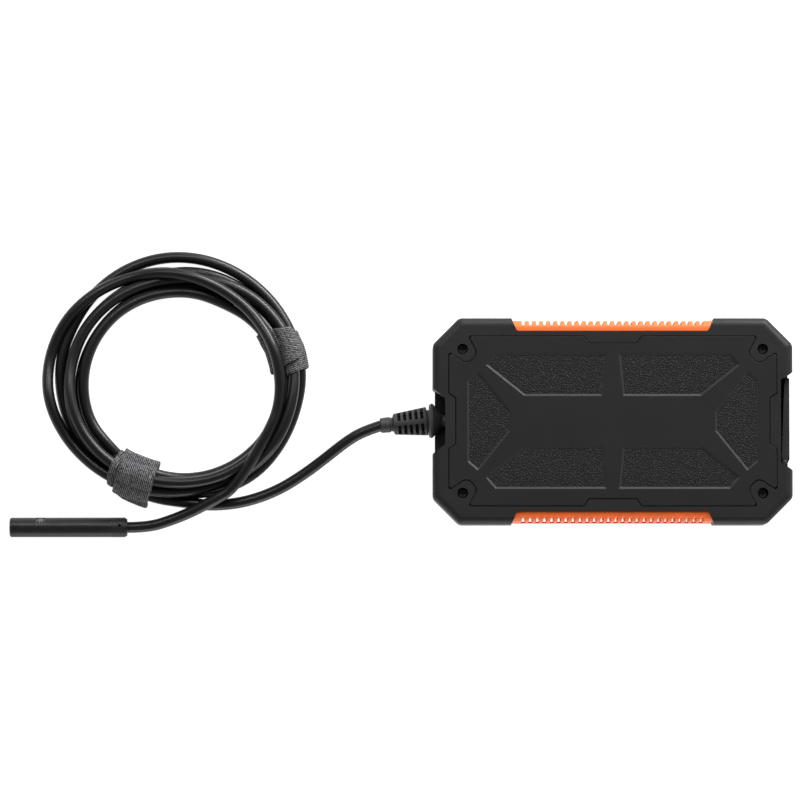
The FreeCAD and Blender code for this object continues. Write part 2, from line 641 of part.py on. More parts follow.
def probe_parts():
    y, z, r = PROBE_Y, PROBE_R, PROBE_R
    bore = r - PROBE_WALL
    cap = turned_x([(PROBE_CAP_X, 0), (PROBE_CAP_X, r), (PROBE_TIP_X + 0.5, r), (PROBE_TIP_X, r - 0.5),
                    (PROBE_TIP_X, 0)], y, z)
    cap = cap.cut(rod_x(bore, PROBE_TIP_X - 1, PROBE_TIP_X + 0.9, y, z))
    cap = cap.cut(rod_x(bore - 0.35, PROBE_TIP_X, PROBE_CAP_X + 1, y, z))
    tube = rod_x(r, PROBE_CAP_X, PROBE_COLLAR_X, y, z).cut(
        rod_x(bore, PROBE_CAP_X - 1, PROBE_COLLAR_X + 1, y, z))
    side_x = PROBE_CAP_X + 2.6
    axis_point = (0, y, z)
    tube = tube.cut(turned(rod_z(1.75, z, z + r + 1, side_x, y), SIDE_WINDOW_TURN, axis_point, (1, 0, 0)))
    collar = turned_x([(PROBE_COLLAR_X, 0), (PROBE_COLLAR_X, r), (PROBE_END_X - 0.7, r),
                       (PROBE_END_X - 0.7, r - 0.45), (PROBE_END_X, r - 0.45), (PROBE_END_X, 0)], y, z)
    collar = collar.cut(rod_x(CABLE_R + 0.02, PROBE_COLLAR_X - 1, PROBE_END_X + 1, y, z))
    screw_x = -206.0
    screw_hole = rod_z(0.62, z + CABLE_R, z + r + 1, screw_x, y)
    collar = collar.cut(turned(screw_hole, SET_SCREW_TURN, axis_point, (1, 0, 0)))
    screw = rod_z(0.6, z + CABLE_R + 0.1, z + r - 0.5, screw_x, y)
    stub = rod_x(CABLE_R, PROBE_COLLAR_X - 2, PROBE_END_X, y, z)
    window = rod_x(bore, PROBE_TIP_X + 0.1, PROBE_TIP_X + 0.9, y, z)
    led_x = PROBE_TIP_X + 1.2
    ring = rod_x(bore - 0.4, led_x + 0.4, led_x + 1.2, y, z).cut(rod_x(1.7, led_x, led_x + 2, y, z))
    leds = []
    for i in range(6):
        angle = math.radians(60 * i + 30)
        at = (y + 2.25 * math.cos(angle), z + 2.25 * math.sin(angle))
        leds.append(block((led_x, led_x + 0.4), (at[0] - 0.4, at[0] + 0.4), (at[1] - 0.4, at[1] + 0.4)))
    barrel = rod_x(1.6, led_x, led_x + 4.6, y, z).cut(rod_x(1.1, led_x - 1, led_x + 0.8, y, z))
    lens = turned_x([(led_x + 0.3, 0), (led_x + 0.45, 0.6), (led_x + 0.8, 1.05), (led_x + 0.8, 0)], y, z)
    sensor = block((led_x + 4.7, led_x + 5.7), (y - 1.9, y + 1.9), (z - 1.9, z + 1.9))
    side_window = rod_z(1.7, z + r - 1.1, z + r - 0.5, side_x, y)
    side_camera = block((side_x - 1.6, side_x + 1.6), (y - 1.6, y + 1.6), (z - 0.2, z + r - 1.3))
    carrier = block((PROBE_CAP_X + 0.6, -214.0), (y - 2.2, y + 2.2), (z - 1.1, z - 0.3))
    side_window, side_camera, carrier = (
        turned(piece, SIDE_WINDOW_TURN, axis_point, (1, 0, 0)) for piece in (side_window, side_camera, carrier))
    return {
        "probe_tip_cap": cap, "probe_tube": tube, "probe_collar": collar, "probe_cable_end": stub,
        "probe_set_screw": turned(screw, SET_SCREW_TURN, axis_point, (1, 0, 0)),
        "front_window": window, "led_ring_board": ring, "leds": Part.makeCompound(leds),
        "front_lens_barrel": barrel, "front_lens": lens, "front_sensor_board": sensor,
        "side_window": side_window, "side_camera_module": side_camera, "probe_board": carrier,
    }


def build():
    blank = casing_blank()
    nodes = {
        "front_shell": front_shell(blank), "rear_shell": rear_shell(blank), "rear_panel": rear_panel(),
        "shell_gasket": shell_gasket(),
        "upper_grip_strip": grip_strip(1), "lower_grip_strip": grip_strip(-1),
        "display_window": prism(rectangle(WINDOW[0] - 0.3, WINDOW[1] - 0.3), BEZEL_Z + 0.15, 2.1, 3.8),
        "lcd_panel": prism(rectangle(*LCD), PLATE_Z + 0.1, 4.9),
        "lcd_backlight": prism(rectangle(*LCD), 4.95, 6.6),
        "main_board": main_board(), "board_screws": board_screws(), "board_chips": board_chips(),
        "shield_can": shield_can(), "tact_switches": tact_switches(),
        "battery_pack": prism(rectangle(72, 50, -6, 0), 11.2, 19.4, 1.2),
        "battery_tape": prism(rectangle(60, 40, -6, 0), 19.4, ROOF_Z),
        "usb_socket": usb_socket(), "card_socket": card_socket(), "memory_card": memory_card(),
        "port_cover": port_cover(), "port_cover_peg": port_cover_peg(), "case_screws": case_screws(),
        "inner_cable": inner_cable(), "camera_header": camera_header(),
        "strain_relief": strain_relief(),
        "cable_lead": cable_tube("cable_lead", lead_route(), CABLE_R).cut(strain_relief()),
        "cable_tail": cable_tube("cable_tail", tail_route(), CABLE_R),
        "cable_coil": cable_coil(),
        "lower_strap": strap("lower_strap"), "right_strap": strap("right_strap"),
    }
    for name, x, y in all_buttons():
        nodes[name] = button(x, y)
    nodes.update(probe_parts())
    return nodes


os.makedirs("parts", exist_ok=True)
for node, shape in build().items():
    box = shape.BoundBox
    print(f"{node:20s} solids {len(shape.Solids)} valid {shape.isValid()} volume {shape.Volume:9.1f}",
          f"z {box.ZMin:7.2f} {box.ZMax:7.2f}")
    shape.exportStep(f"parts/{node}.step")
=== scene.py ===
import json
import math

import bmesh
import bpy
import numpy as np
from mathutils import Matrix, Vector


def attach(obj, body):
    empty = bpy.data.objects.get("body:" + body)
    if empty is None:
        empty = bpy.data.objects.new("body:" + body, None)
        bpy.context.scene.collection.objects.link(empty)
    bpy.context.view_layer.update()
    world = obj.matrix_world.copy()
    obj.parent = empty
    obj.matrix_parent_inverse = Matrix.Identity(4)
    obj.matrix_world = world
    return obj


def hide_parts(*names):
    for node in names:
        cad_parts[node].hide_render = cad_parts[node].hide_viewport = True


# Handheld inspection camera: its looks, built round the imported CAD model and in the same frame. The cable's
# route and the straps are given in millimetres, and everything else in metres.

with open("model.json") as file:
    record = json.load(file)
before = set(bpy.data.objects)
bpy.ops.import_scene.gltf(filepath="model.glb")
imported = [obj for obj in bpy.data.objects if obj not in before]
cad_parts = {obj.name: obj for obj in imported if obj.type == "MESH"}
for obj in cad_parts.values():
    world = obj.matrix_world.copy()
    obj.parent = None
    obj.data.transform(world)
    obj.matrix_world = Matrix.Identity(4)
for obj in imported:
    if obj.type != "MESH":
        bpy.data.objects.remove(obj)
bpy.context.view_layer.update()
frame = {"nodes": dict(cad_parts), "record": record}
MM = 0.001

# ---- camera -------------------------------------------------------------

CAM_DISTANCE = 2.6
CAM_TILT = math.radians(2.7)
CAM_CENTRE = Vector((-0.0886, 0.0088, 0.022))
FRAME_WIDTH = 0.3333
SENSOR_WIDTH = 36.0


def make_camera():
    data = bpy.data.cameras.new("camera")
    data.sensor_width = SENSOR_WIDTH
    data.lens = SENSOR_WIDTH * CAM_DISTANCE / FRAME_WIDTH
    data.clip_start = 0.05
    data.clip_end = 20.0
    cam = bpy.data.objects.new("camera", data)
    bpy.context.scene.collection.objects.link(cam)
    back = Vector((0.0, -math.sin(CAM_TILT), math.cos(CAM_TILT)))
    cam.location = CAM_CENTRE + back * CAM_DISTANCE
    cam.rotation_euler = (CAM_TILT, 0.0, 0.0)
    bpy.context.scene.camera = cam


make_camera()

# ---- the cable's route --------------------------------------------------

CABLE_D = 4.7
CABLE_EXIT = (-96.9, -1.41, 11.0)
RELIEF_TILT = 5.5  # degrees
RELIEF_PIVOT_X = -76.0
RELIEF_Y = 0.6
# From the strain relief to the coil, and from the coil to the probe
LEAD = ((-96.3, -1.36, 11.0), (-104.4, -3.9, 10.2), (-111.9, -8.6, 8.4), (-119.8, -14.8, 5.9),
        (-129.2, -21.8, 3.9), (-140.4, -28.6, 2.8), (-153.5, -33.2, 2.45), (-166.6, -34.7, 2.4),
        (-176.7, -33.6, 2.35))
TAIL = ((-166.0, -32.2, 8.6), (-175.0, -37.0, 6.4), (-184.1, -40.7, 4.7), (-194.2, -43.8, 4.15),
        (-202.9, -43.8, 4.15))
COIL_CENTRE = (-182.6, 16.4)
POINTS_PER_TURN = 20
COIL_STARTS = 12.0  # degrees wound before the coil's first point
COIL_STOPS = 53  # degrees left of the last turn, where the cable leaves the coil
# The cable's distance from the coil's centre and its height, turn by turn, in these directions from there
DIRECTIONS = (270, 245, 225, 200, 180, 157, 135, 112, 90, 67, 45, 16, 0, -25, -45, -68)
TURNS = (
    ((48.9, 2.4), (45.3, 2.4), (46.2, 2.4), (47.2, 2.4), (48.0, 2.4), (49.7, 2.4), (50.6, 2.4), (52.7, 2.4),
     (54.0, 2.4), (53.4, 2.4), (52.0, 2.4), (51.2, 2.4), (51.0, 2.4), (50.1, 2.4), (48.8, 2.4), (47.0, 2.4)),
    ((45.3, 2.4), (42.0, 2.4), (44.3, 4.5), (45.3, 6.0), (45.8, 6.3), (44.6, 5.5), (43.8, 2.4), (44.7, 2.4),
     (46.7, 2.4), (48.3, 4.0), (49.6, 5.5), (47.8, 5.0), (48.3, 6.0), (47.4, 6.0), (46.2, 5.5), (44.1, 3.0)),
    ((41.5, 2.4), (38.2, 2.4), (39.0, 5.0), (39.1, 6.5), (38.9, 6.5), (38.4, 7.0), (38.6, 7.0), (38.4, 5.0),
     (38.2, 2.4), (39.2, 2.4), (41.3, 2.4), (44.5, 2.4), (45.3, 3.0), (44.7, 2.4), (43.6, 2.4), (41.5, 4.0)),
    ((39.6, 6.0), (37.8, 6.5), (39.9, 4.5), (41.1, 2.4), (40.5, 2.4), (38.9, 2.4), (38.6, 2.4), (39.7, 3.0),
     (41.4, 5.0), (42.2, 5.0), (43.2, 5.0), (47.0, 7.0), (47.0, 8.0), (46.2, 8.0), (45.3, 8.0), (42.4, 7.0)),
    ((41.2, 10.0), (41.5, 7.0), (43.2, 8.0), (44.3, 10.0), (44.5, 10.0), (44.6, 9.0), (43.9, 6.5), (43.6, 6.5),
     (43.0, 7.0), (46.2, 7.0), (49.7, 8.0), (49.5, 9.0), (49.7, 8.0), (48.7, 9.0), (47.0, 10.5), (44.1, 10.5)),
    ((46.0, 6.5), (45.7, 6.5), (47.8, 6.5), (52.2, 5.0), (54.5, 4.0), (53.9, 5.0), (51.4, 7.0), (48.0, 9.0),
     (45.7, 11.0), (43.8, 11.5), (42.8, 11.5), (43.8, 12.0), (44.3, 11.5), (44.3, 12.0), (44.5, 12.0),
     (45.3, 11.0)),
)
COIL_LEAVES = (-157.3, -25.6, 10.4)
# Each strap's centre, x and y, the direction of the cables through it in degrees, and half its width
STRAPS = {
    "lower_strap": (-201.9, -21.6, -17.0, 7.8),
    "right_strap": (-135.7, 28.2, -78.0, 8.2),
}
STRAP_T = 1.2
STRAP_LIFT = 2.6  # room for the strap under the last turn, which lies on it
UNSTRAPPED = 1900.0  # degrees wound, after which the cable is outside the straps


def through(knots, values, at):
    """Smooth curve through the values at uneven knots."""
    gaps = np.diff(knots)
    slopes = np.diff(values) / gaps
    mid = np.zeros(len(knots))
    mid[1:-1] = (slopes[:-1] * gaps[1:] + slopes[1:] * gaps[:-1]) / (gaps[1:] + gaps[:-1])
    mid[0], mid[-1] = slopes[0], slopes[-1]
    i = np.clip(np.searchsorted(knots, at) - 1, 0, len(gaps) - 1)
    t = (at - knots[i]) / gaps[i]
    return ((1 + 2 * t) * (1 - t) ** 2 * values[i] + t * (1 - t) ** 2 * gaps[i] * mid[i]
            + t * t * (3 - 2 * t) * values[i + 1] + t * t * (t - 1) * gaps[i] * mid[i + 1])


def coil_turns():
    """The coil's points, worked out turn by turn, clockwise from the bottom."""
    wound = np.array([360 * n + 270 - d for n in range(len(TURNS)) for d in DIRECTIONS])
    table = np.array([entry for turn in TURNS for entry in turn])
    at = np.arange(COIL_STARTS, 360 * len(TURNS) - COIL_STOPS, 360 / POINTS_PER_TURN)
    r = through(wound, table[:, 0], at)
    z = through(wound, table[:, 1], at)
    for _ in range(2):
        r[1:-1] = r[1:-1] * 0.5 + (r[:-2] + r[2:]) * 0.25
    a = np.radians(270 - at)
    turns = np.column_stack((COIL_CENTRE[0] + r * np.cos(a), COIL_CENTRE[1] + r * np.sin(a), z))
    return np.vstack((turns, COIL_LEAVES))


def dense_line(points, step):
    """Finely spaced points through the given ones, and where each given one is."""
    p = np.vstack((2 * points[0] - points[1], points, 2 * points[-1] - points[-2]))
    line, marks = [], []
    for i in range(1, len(p) - 2):
        a, b, c, d = p[i - 1], p[i], p[i + 1], p[i + 2]
        count = max(2, round(float(np.linalg.norm(c - b)) / step))
        marks.append(len(line))
        for k in range(count):
            t = k / count
            line.append(0.5 * (2 * b + (c - a) * t + (2 * a - 5 * b + 4 * c - d) * t * t
                               + (3 * b - a - 3 * c + d) * t ** 3))
    marks.append(len(line))
    line.append(p[-2])
    return np.array(line), marks


def under_cable(x, y):
    """Height of the straps' lower layer, which lifts the cable."""
    layer, fades, reach = 1.3, 6, 16
    height = np.zeros(len(x))
    for cx, cy, degrees, half in STRAPS.values():
        a = math.radians(degrees)
        along = (x - cx) * math.cos(a) + (y - cy) * math.sin(a)
        across = (y - cy) * math.cos(a) - (x - cx) * math.sin(a)
        near = np.exp(-(np.maximum(np.abs(along) - half, 0) / fades) ** 2) * (np.abs(across) < reach)
        height = np.maximum(height, layer * near)
    return height


def settle(coil):
    """The coil under its own weight: each turn lies on the floor or on the turns below."""
    rounds, step, near, same_stretch, fall = 260, 2.0, 8.5, 12, 0.12
    line, marks = dense_line(np.vstack((LEAD, coil, TAIL)), step)
    first, last = len(LEAD), len(LEAD) + len(coil)
    free = np.zeros(len(line))
    free[marks[first - 1]:marks[last] + 1] = 1.0
    wanted = line.copy()
    flat = ((wanted[:, None, :2] - wanted[None, :, :2]) ** 2).sum(-1)
    i, j = np.nonzero(flat < near ** 2)
    i, j = i[j - i > same_stretch], j[j - i > same_stretch]
    clear = np.full(len(i), CABLE_D * 1.01)
    x, y, degrees, half = STRAPS["right_strap"]
    a = math.radians(degrees)
    along = (wanted[:, 0] - x) * math.cos(a) + (wanted[:, 1] - y) * math.sin(a)
    over = (np.abs(along) < half + 1) & (np.arange(len(line)) > marks[last - POINTS_PER_TURN])
    clear[over[j] | over[i]] += STRAP_LIFT
    for _ in range(rounds):
        line[:, 2] -= fall * free
        line[:, :2] += (wanted - line)[:, :2] * 0.3 * free[:, None]
        for _ in range(2):
            middle = (line[:-2] + line[2:]) / 2
            line[1:-1] += (middle - line[1:-1]) * (0.1, 0.1, 0.5) * free[1:-1, None]
        for _ in range(3):
            gap = line[j] - line[i]
            dist = np.linalg.norm(gap, axis=1)
            hit = dist < clear
            way = gap[hit] * (0.4, 0.4, 1.0)
            way /= np.maximum(np.linalg.norm(way, axis=1), 1e-6)[:, None]
            push = (clear - dist)[hit][:, None] * 0.8 * way
            free_i, free_j = free[i[hit]][:, None], free[j[hit]][:, None]
            both = np.maximum(free_i + free_j, 1e-6)
            shift = np.zeros_like(line)
            count = np.zeros(len(line))
            np.add.at(shift, i[hit], -push * free_i / both)
            np.add.at(shift, j[hit], push * free_j / both)
            np.add.at(count, i[hit], 1)
            np.add.at(count, j[hit], 1)
            line += shift / np.maximum(1, count ** 0.6)[:, None]
        floor = under_cable(line[:, 0], line[:, 1]) + CABLE_D / 2
        line[:, 2] = np.where(free > 0, np.maximum(line[:, 2], floor), line[:, 2])
    settled = line[[marks[k] for k in range(first, last)]]
    whole = np.vstack((LEAD, settled, TAIL))
    bend = np.zeros_like(whole)
    bend[1:-1] = whole[:-2] - 2 * whole[1:-1] + whole[2:]
    whole[first:last] -= bend[first:last] / 8
    whole[first:last, 2] = np.maximum(whole[first:last, 2], CABLE_D / 2)
    return whole


def make_cord():
    points = settle(coil_turns()) * MM
    data = bpy.data.curves.new("cable", "CURVE")
    data.dimensions = "3D"
    spline = data.splines.new("NURBS")
    spline.points.add(len(points) - 1)
    for control, p in zip(spline.points, points):
        control.co = (*p, 1.0)
    spline.order_u = 3
    spline.use_endpoint_u = True
    spline.resolution_u = 6
    data.bevel_depth = CABLE_D / 2 * MM
    data.bevel_resolution = 6
    data.use_fill_caps = True
    cord = bpy.data.objects.new("cable", data)
    bpy.context.scene.collection.objects.link(cord)
    return cord


def centreline(cord):
    """Points read from the cord's own spline."""
    bare = cord.data.copy()
    bare.bevel_depth = 0.0
    probe = bpy.data.objects.new("centreline", bare)
    bpy.context.scene.collection.objects.link(probe)
    mesh = bpy.data.meshes.new_from_object(probe.evaluated_get(bpy.context.evaluated_depsgraph_get()))
    points = np.array([v.co[:] for v in mesh.vertices])
    bpy.data.objects.remove(probe)
    return points


cord = make_cord()
line = centreline(cord)

# ---- procedural materials -----------------------------------------------


class Finish:
    """A material with its colour, roughness and relief built from object coordinates."""

    def __init__(self, name, color, roughness, **sockets):
        self.mat = bpy.data.materials.new(name)
        self.mat.use_nodes = True
        self.nodes = self.mat.node_tree.nodes
        self.links = self.mat.node_tree.links
        self.bsdf = self.nodes["Principled BSDF"]
        self.color = color
        self.bsdf.inputs["Base Color"].default_value = (*color, 1.0)
        self.bsdf.inputs["Roughness"].default_value = roughness
        self.normal = None
        for socket, value in sockets.items():
            self.bsdf.inputs[socket.replace("_", " ")].default_value = value
        self.coords = self.nodes.new("ShaderNodeTexCoord").outputs["Object"]
        self.tint = None

    def node(self, kind, inputs=None, **props):
        made = self.nodes.new(kind)
        for key, value in props.items():
            setattr(made, key, value)
        for key, value in (inputs or {}).items():
            self.feed(made.inputs[key], value)
        return made

    def feed(self, socket, value):
        if hasattr(value, "links"):
            self.links.new(value, socket)
        else:
            socket.default_value = value

    def math(self, operation, a, b=0.0):
        return self.node("ShaderNodeMath", {0: a, 1: b}, operation=operation).outputs[0]

    def product(self, a, b):
        return self.math("MULTIPLY", a, b)

    def without(self, value):
        """1 where the value is 0, and 0 where it is 1."""
        return self.math("SUBTRACT", 1.0, value)

    def axis(self, index):
        return self.node("ShaderNodeSeparateXYZ", {0: self.coords}).outputs[index]

    def ramp(self, value, low, high):
        """0 below low, 1 above high, smooth between them."""
        made = self.node("ShaderNodeMapRange", {"Value": value, "From Min": low, "From Max": high},
                         interpolation_type="SMOOTHSTEP")
        return made.outputs["Result"]

    def stretched(self, x, y, z):
        return self.node("ShaderNodeMapping", {"Vector": self.coords, "Scale": (x, y, z)}).outputs[0]

    def noise(self, size, detail=2.0, vector=None, distortion=0.0):
        """Noise with features of that size in metres."""
        made = self.node("ShaderNodeTexNoise", {"Vector": vector or self.coords, "Scale": 1 / size,
                                                "Detail": detail, "Distortion": distortion})
        return made.outputs["Fac"]

    def cells(self, size, feature="F1", vector=None):
        """Distance from the centre or the edge of cells of that size in metres."""
        made = self.node("ShaderNodeTexVoronoi", {"Vector": vector or self.coords, "Scale": 1 / size},
                         feature=feature)
        return made.outputs["Distance"]

    def paint(self, factor, color):
        """Mix a colour over what is there by the factor."""
        base = self.tint if self.tint is not None else (*self.color, 1.0)
        made = self.node("ShaderNodeMix", {"Factor": factor, 6: base, 7: (*color, 1.0)}, data_type="RGBA")
        self.tint = made.outputs[2]
        self.feed(self.bsdf.inputs["Base Color"], self.tint)
        return self

    def vary(self, size, amount, detail=3.0):
        """Lighter and darker patches."""
        patch = self.ramp(self.noise(size, detail), 0.3, 0.7)
        darker = tuple(c * (1 - amount) for c in self.color)
        return self.paint(patch, darker)

    def rough_by(self, value, low, high):
        made = self.node("ShaderNodeMapRange", {"Value": value, "To Min": low, "To Max": high})
        self.feed(self.bsdf.inputs["Roughness"], made.outputs["Result"])
        return self

    def relief(self, height, depth, strength=1.0):
        """Bump of that depth in metres from a 0 to 1 height."""
        inputs = {"Height": height, "Distance": depth, "Strength": strength}
        if self.normal is not None:
            inputs["Normal"] = self.normal
        self.normal = self.node("ShaderNodeBump", inputs).outputs[0]
        self.feed(self.bsdf.inputs["Normal"], self.normal)
        return self


def case_plastic():
    f = Finish("case_plastic", (0.0115, 0.0115, 0.0118), 0.5, Specular_IOR_Level=0.26)
    f.vary(0.03, 0.12)
    f.rough_by(f.noise(0.012, 4.0), 0.42, 0.58)
    f.relief(f.cells(0.00034), 0.000018)
    return f.relief(f.noise(0.0006, 3.0), 0.00003, 0.7).mat


def panel_plastic():
    """Satin plastic, with the leather grain of the sunken pads and a painted highlight on the bevels round
    them.
    """
    pad_floor, pad_rim = 0.02347, 0.0239
    f = Finish("panel_plastic", (0.0105, 0.0105, 0.0108), 0.55, Specular_IOR_Level=0.24)
    f.vary(0.02, 0.12)
    pads = f.without(f.ramp(f.axis(2), pad_floor, 0.0236))
    wander = f.node("ShaderNodeTexNoise", {"Vector": f.coords, "Scale": 900.0}).outputs["Color"]
    wander = f.node("ShaderNodeVectorMath", {0: wander, 3: 0.0006}, operation="SCALE").outputs[0]
    pulled = f.node("ShaderNodeVectorMath", {0: f.coords, 1: wander}, operation="ADD").outputs[0]
    pebble = f.ramp(f.cells(0.00105, "DISTANCE_TO_EDGE", pulled), 0.0, 0.34)
    grooves = f.product(pads, f.without(pebble))
    grain = f.math("ADD", f.product(pebble, 0.75), f.product(f.noise(0.0004), 0.25))
    f.paint(grooves, (0.004, 0.004, 0.0042))
    f.paint(f.product(pads, 0.25), (0.008, 0.008, 0.0083))
    # painted highlight: the bevels round the pads are painted paler, as if lit
    bevel = f.math("SUBTRACT", f.ramp(f.axis(2), pad_floor, 0.0235), f.ramp(f.axis(2), pad_rim, 0.02398))
    f.paint(f.product(bevel, 0.5), (0.03, 0.03, 0.031))
    f.rough_by(grooves, 0.5, 0.66)
    f.relief(f.product(grain, pads), 0.00018)
    return f.relief(f.product(f.noise(0.0005, 3.0), f.without(pads)), 0.00002).mat


def grip_rubber():
    """Orange rubber, with painted shade at the roots of the notches and a dark painted shadow where it meets
    the casing.
    """
    notch_root, inner_edge = 0.0398, 0.0380
    f = Finish("grip_rubber", (0.93, 0.155, 0.022), 0.48, Specular_IOR_Level=0.4)
    f.vary(0.008, 0.10)
    out = f.math("ABSOLUTE", f.axis(1))
    # painted shade: the roots of the notches are painted a duller, darker orange
    root_shade = f.product(f.without(f.ramp(out, notch_root, 0.0406)), f.ramp(out, 0.0392, notch_root))
    f.paint(f.product(root_shade, 0.55), (0.75, 0.16, 0.06))
    # painted shadow: a dark red band where the rubber meets the casing
    inner = f.without(f.ramp(out, 0.03758, inner_edge))
    f.paint(f.product(inner, 0.8), (0.25, 0.02, 0.006))
    f.rough_by(f.noise(0.004, 3.0), 0.4, 0.58)
    return f.relief(f.noise(0.0004, 2.0), 0.00003).mat


def boot_rubber():
    """Dark grey rubber: the cone is painted paler as if lit, and the insides of the slots, near the tilted
    axis, are painted black as shade.
    """
    first_slot, last_slot, cone, core = -0.0902, -0.0783, -0.0771, 0.004
    f = Finish("boot_rubber", (0.024, 0.0244, 0.0255), 0.45, Specular_IOR_Level=0.42)
    f.vary(0.006, 0.15)
    x = f.axis(0)
    slope = math.tan(math.radians(RELIEF_TILT))
    off_axis = f.math("SUBTRACT", f.axis(1), f.product(f.math("SUBTRACT", x, RELIEF_PIVOT_X * MM), slope))
    aside = f.math("POWER", f.math("SUBTRACT", off_axis, RELIEF_Y * MM), 2.0)
    above = f.math("POWER", f.math("SUBTRACT", f.axis(2), CABLE_EXIT[2] * MM), 2.0)
    out = f.math("SQRT", f.math("ADD", aside, above))
    slotted = f.product(f.ramp(x, first_slot, first_slot + 0.0002),
                        f.without(f.ramp(x, last_slot - 0.0002, last_slot)))
    # painted shade: the insides of the slots near the tilted axis, painted black below
    slot_shade = f.product(slotted, f.without(f.ramp(out, core, core + 0.0004)))
    # painted light: the cone is painted paler, as if lit
    f.paint(f.ramp(x, cone, cone + 0.0004), (0.05, 0.051, 0.053))
    f.paint(f.product(slot_shade, 0.98), (0.0005, 0.0005, 0.0005))
    f.rough_by(f.math("MAXIMUM", f.product(f.noise(0.003, 3.0), 0.4), slot_shade), 0.42, 1.0)
    return f.relief(f.noise(0.00035, 2.0), 0.00003).mat


def soft_rubber():
    f = Finish("dark_rubber", (0.013, 0.013, 0.0135), 0.6, Specular_IOR_Level=0.3)
    f.vary(0.006, 0.2)
    f.rough_by(f.noise(0.002, 3.0), 0.5, 0.7)
    return f.relief(f.noise(0.0004, 2.0), 0.00003).mat


def cable_jacket():
    f = Finish("cable_jacket", (0.007, 0.007, 0.0074), 0.34, Specular_IOR_Level=0.34)
    f.vary(0.012, 0.2)
    f.rough_by(f.noise(0.006, 4.0), 0.26, 0.38)
    return f.relief(f.noise(0.0011, 3.0), 0.00003, 0.6).mat


def probe_metal():
    """Black anodised metal: a duller collar with its seam, and ring marks beside the side camera with a
    painted highlight on their upper side.
    """
    seam_x, ring_pitch, rings_start, rings_end = -0.2092, 0.0012, -0.2416, -0.237
    f = Finish("probe_metal", (0.011, 0.011, 0.0115), 0.3, Specular_IOR_Level=0.34)
    f.vary(0.006, 0.2)
    x = f.axis(0)
    worn = f.noise(0.005, 3.0)
    collar = f.ramp(x, seam_x - 0.0001, seam_x + 0.0001)
    f.rough_by(f.math("ADD", f.product(worn, 0.3), f.product(collar, 0.7)), 0.3, 0.46)
    seam = f.without(f.ramp(f.math("ABSOLUTE", f.math("SUBTRACT", x, seam_x)), 0.0001, 0.0003))
    f.paint(f.product(seam, 0.8), (0.002, 0.002, 0.002))
    marks = f.ramp(f.math("SINE", f.product(x, 2 * math.pi / ring_pitch)), 0.2, 0.95)
    zone = f.product(f.ramp(x, rings_start, rings_start + 0.0005),
                     f.without(f.ramp(x, rings_end - 0.0004, rings_end)))
    # painted highlight: the ring marks are painted paler only on the upper side, which faces the lamps
    marks = f.product(f.product(marks, zone), f.ramp(f.axis(1), -0.0438, -0.0432))
    f.paint(f.product(marks, 0.6), (0.05, 0.05, 0.052))
    f.relief(marks, 0.00003)
    return f.relief(f.without(seam), 0.0001).mat


def black_screw():
    """Blackened steel, and painted shade for the tiny screw in the probe's collar: it is painted dull black,
    as the shade in its hole.
    """
    f = Finish("black_screws", (0.06, 0.06, 0.06), 0.34, Metallic=0.5, Specular_IOR_Level=0.6)
    f.vary(0.0008, 0.4)
    probe_screw_shade = f.without(f.ramp(f.axis(0), -0.2, -0.15))
    # painted shade: the screw sunk in the probe's collar is painted black and made fully rough
    f.paint(probe_screw_shade, (0.0005, 0.0005, 0.0005))
    f.rough_by(f.math("MAXIMUM", f.product(f.noise(0.0005, 3.0), 0.3), probe_screw_shade), 0.3, 1.0)
    return f.relief(f.noise(0.0003, 3.0), 0.00003).mat


def steel(name, color):
    f = Finish(name, color, 0.3, Metallic=1.0)
    f.vary(0.002, 0.2)
    brushed = f.noise(0.0004, 3.0, f.stretched(0.1, 1.0, 1.0))
    f.rough_by(brushed, 0.22, 0.42)
    return f.relief(brushed, 0.000006).mat


def gloss(name, color, rough=0.12, **sockets):
    f = Finish(name, color, rough, **sockets)
    f.vary(0.01, 0.15)
    f.rough_by(f.noise(0.01, 4.0), rough * 0.7, rough * 1.5)
    return f.relief(f.noise(0.002, 2.0), 0.000004).mat


def circuit_board():
    f = Finish("circuit_board", (0.012, 0.11, 0.04), 0.3)
    tracks = f.node("ShaderNodeTexBrick", {"Vector": f.coords, "Scale": 260.0, "Mortar Size": 0.03,
                                           "Color1": (0, 0, 0, 1), "Color2": (0.1, 0.1, 0.1, 1),
                                           "Mortar": (1, 1, 1, 1)}).outputs["Fac"]
    f.paint(f.product(tracks, 0.5), (0.05, 0.24, 0.09))
    f.rough_by(f.noise(0.003), 0.25, 0.4)
    return f.relief(tracks, 0.00003).mat


def chip_plastic():
    f = Finish("chip_plastic", (0.02, 0.02, 0.021), 0.5)
    f.vary(0.003, 0.2)
    return f.relief(f.noise(0.0002, 2.0), 0.00001).mat


def foil():
    f = Finish("battery_foil", (0.5, 0.51, 0.53), 0.32, Metallic=0.9)
    f.vary(0.01, 0.12)
    f.rough_by(f.noise(0.004, 4.0), 0.25, 0.45)
    return f.relief(f.noise(0.003, 4.0, distortion=0.5), 0.00008).mat


